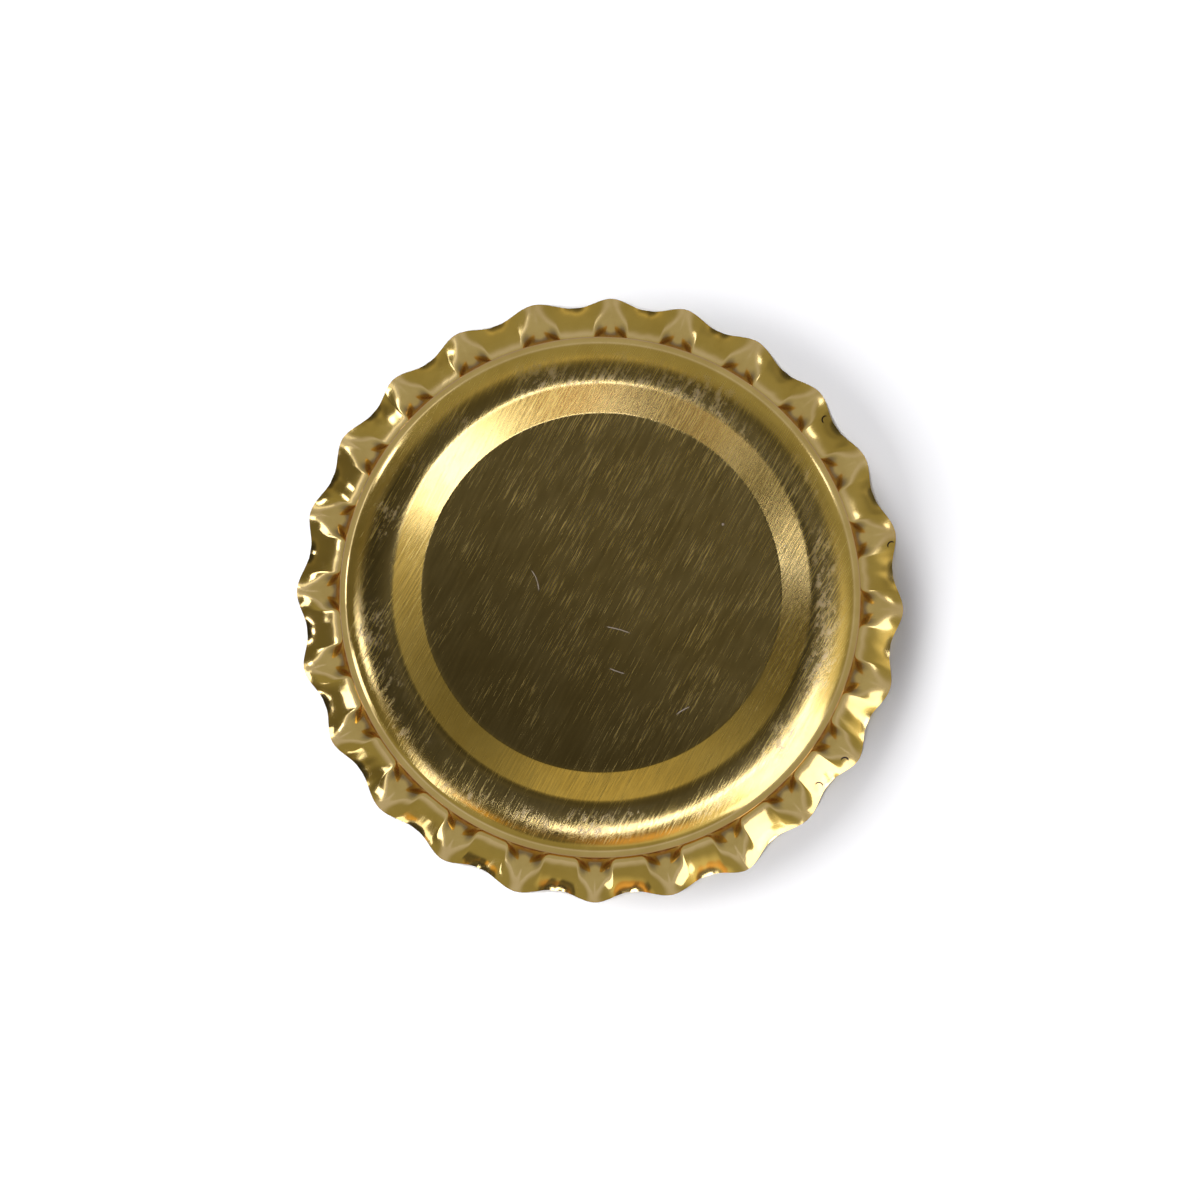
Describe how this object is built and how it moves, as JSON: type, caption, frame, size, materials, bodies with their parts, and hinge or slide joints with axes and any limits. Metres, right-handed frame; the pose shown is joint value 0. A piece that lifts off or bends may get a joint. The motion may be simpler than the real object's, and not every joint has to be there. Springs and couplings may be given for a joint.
{
  "type": "bottle cap",
  "caption": "Round stamped metal crown cap with a shallow recessed panel, a fluted skirt and a moulded sealing liner inside.",
  "frame": {"origin": "centre of the plane on which the edge of the skirt rests", "axes": "+Z along the cap's axis from the open mouth to the panel; +X through the tip of a tooth"},
  "size_m": [0.032, 0.032, 0.006],
  "materials": {
    "lacquered_tinplate": "gold lacquer over rolled tinplate, lightly scuffed",
    "liner_plastic": "moulded, satin"
  },
  "bodies": {
    "root": {"shell": "lacquered_tinplate", "liner": "liner_plastic"}
  },
  "joints": []
}
